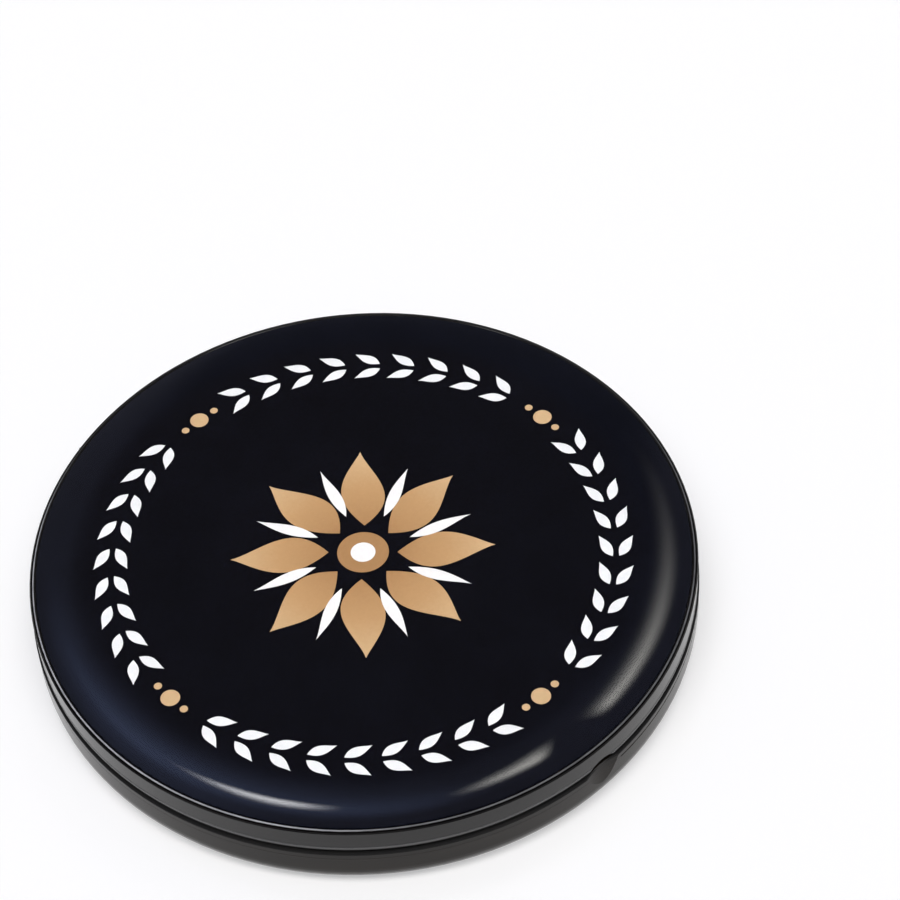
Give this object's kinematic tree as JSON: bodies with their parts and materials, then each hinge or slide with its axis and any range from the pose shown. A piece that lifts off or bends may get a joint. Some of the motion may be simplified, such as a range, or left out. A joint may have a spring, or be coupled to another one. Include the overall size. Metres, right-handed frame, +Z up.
{
  "type": "compact mirror",
  "caption": "Round pocket compact mirror: a hinged gloss black case with a mirror in each half, magnetic closing and a clear domed label on the lid.",
  "frame": {"origin": "centre of the disc on the underside of the base, which is also the bottom centre of the whole object's box", "axes": "+Z up through the lid, the shortest extent; +Y towards the hinge; -Y towards the thumb notch and the magnets"},
  "size_m": [0.07, 0.07, 0.0103],
  "materials": {
    "case_plastic": "moulded black plastic, polished",
    "frame_plastic": "moulded black plastic, satin",
    "mirror_glass": "silvered flat glass with a ground edge",
    "adhesive_pad": "white foam adhesive",
    "magnet_nickel": "bright nickel plating",
    "label_print": "printed vinyl",
    "dome_resin": "clear polished resin",
    "pin_steel": "drawn wire"
  },
  "bodies": {
    "base": {"base_shell": "case_plastic", "base_mirror_frame": "frame_plastic", "base_mirror_pad": "adhesive_pad", "base_mirror": "mirror_glass", "base_magnet": "magnet_nickel", "hinge_pin": "pin_steel"},
    "lid": {"lid_shell": "case_plastic", "lid_mirror_frame": "frame_plastic", "lid_mirror_pad": "adhesive_pad", "lid_mirror": "mirror_glass", "lid_magnet": "magnet_nickel", "printed_label": "label_print", "clear_dome": "dome_resin"}
  },
  "joints": [
    {"name": "lid_hinge", "type": "hinge", "parent": "base", "child": "lid", "pos_m": [0, 0.03335, 0.006], "axis": [-1, 0, 0], "range_deg": [0, 112]}
  ]
}
